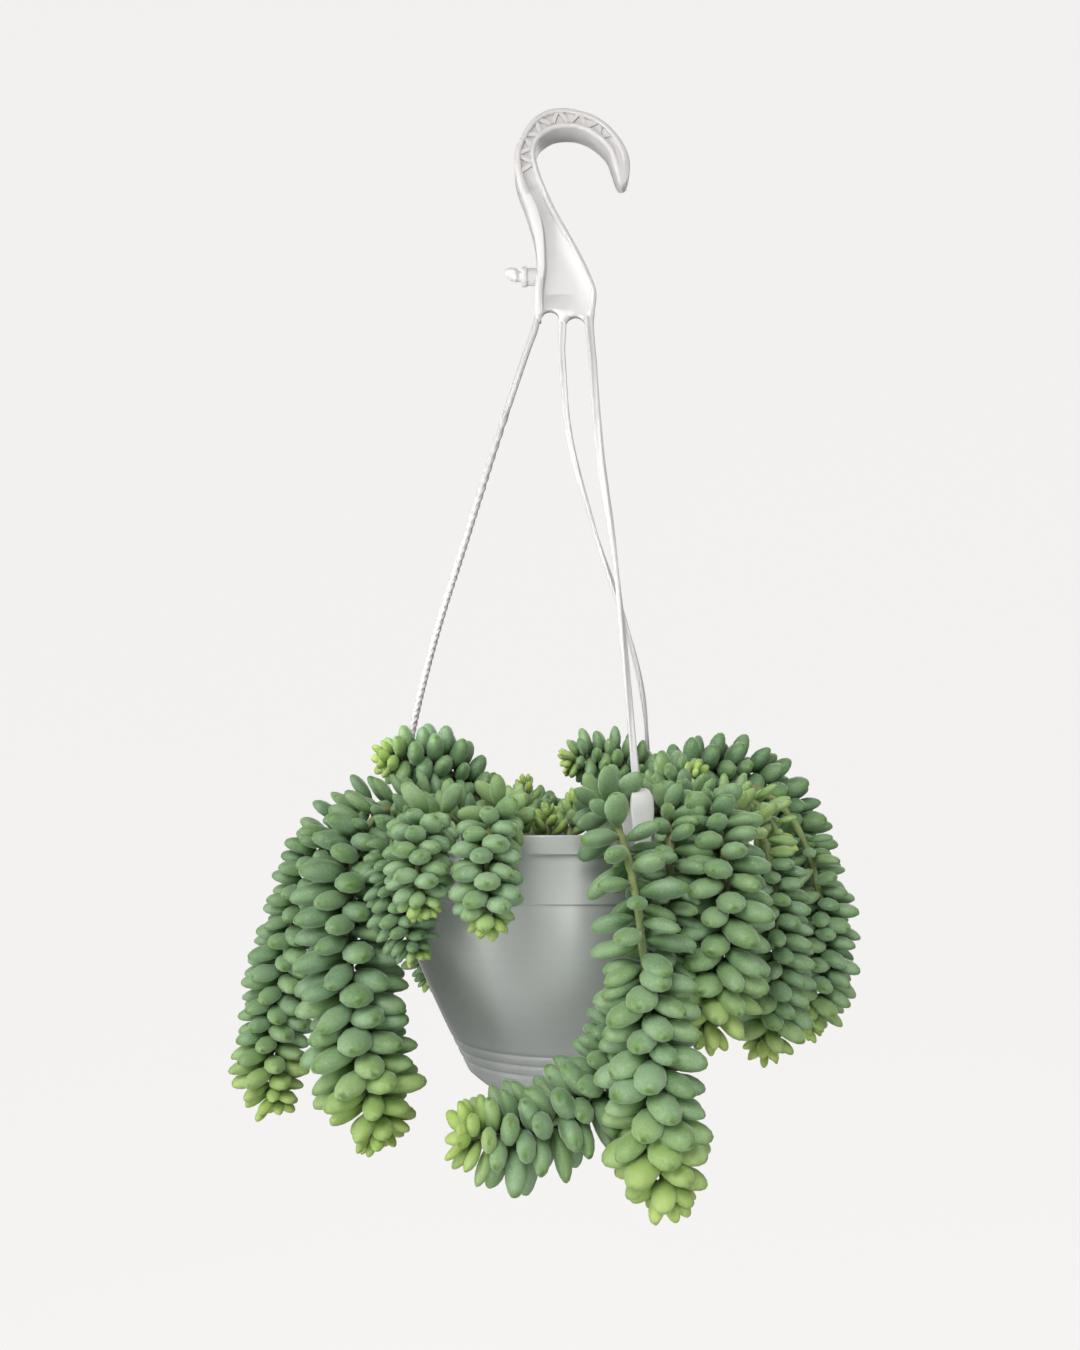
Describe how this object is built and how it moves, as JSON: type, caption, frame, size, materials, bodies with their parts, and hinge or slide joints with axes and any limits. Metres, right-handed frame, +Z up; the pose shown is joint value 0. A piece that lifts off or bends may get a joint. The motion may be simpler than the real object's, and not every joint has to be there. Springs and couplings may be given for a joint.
{
  "type": "potted burro's tail plant",
  "caption": "Trailing succulent with plump overlapping leaves on hanging stems, in a tapered round pot with soil, held by a moulded hanger with a hook and three arms",
  "frame": {"origin": "Point under the arch of the hook that rests on whatever the pot hangs from", "axes": "+Z up along the hang of the pot; +X from the back of the hook towards its tip; +Y away from the front of the pot, square to the hook's flat plate"},
  "size_m": [0.2647, 0.2317, 0.4785],
  "materials": {
    "pot": "satin light grey moulded plastic",
    "hanger": "satin white moulded plastic",
    "soil": "dark crumbly potting mix",
    "stem": "smooth tan-green living stem",
    "leaves": "plump waxy blue-green leaves with a pale bloom",
    "young_leaves": "plump waxy yellow-green young leaves"
  },
  "bodies": {
    "root": {"pot": "pot", "soil": "soil", "hanger": "hanger", "tail_left_front_stem": "stem", "tail_left_front_leaves": "leaves", "tail_left_rear_stem": "stem", "tail_left_rear_leaves": "leaves", "head_left_stem": "stem", "head_left_leaves": "leaves", "tail_short_left_stem": "stem", "tail_short_left_leaves": "leaves", "tail_short_middle_stem": "stem", "tail_short_middle_leaves": "leaves", "tail_dark_stem": "stem", "tail_dark_leaves": "leaves", "tail_front_stem": "stem", "tail_front_leaves": "leaves", "tail_curled_stem": "stem", "tail_curled_leaves": "leaves", "tail_right_front_stem": "stem", "tail_right_front_leaves": "leaves", "tail_right_stem": "stem", "tail_right_leaves": "leaves", "tail_far_right_stem": "stem", "tail_far_right_leaves": "leaves", "shoot_top_back_stem": "stem", "shoot_top_back_leaves": "leaves", "arch_right_stem": "stem", "arch_right_leaves": "leaves", "rosette_right_stem": "stem", "rosette_right_leaves": "leaves", "branch_right_stem": "stem", "young_front_stem": "stem", "young_front_leaves": "young_leaves", "young_middle_stem": "stem", "young_middle_leaves": "young_leaves", "young_left_stem": "stem", "young_left_leaves": "young_leaves", "young_centre_stem": "stem", "young_centre_leaves": "young_leaves", "young_back_stem": "stem", "young_back_leaves": "young_leaves", "young_side_stem": "stem", "young_side_leaves": "young_leaves", "young_rear_stem": "stem", "young_rear_leaves": "young_leaves", "tail_back_left_short_stem": "stem", "tail_back_left_short_leaves": "leaves", "tail_back_left_stem": "stem", "tail_back_left_leaves": "leaves", "tail_back_stem": "stem", "tail_back_leaves": "leaves", "tail_back_right_stem": "stem", "tail_back_right_leaves": "leaves"}
  },
  "joints": []
}
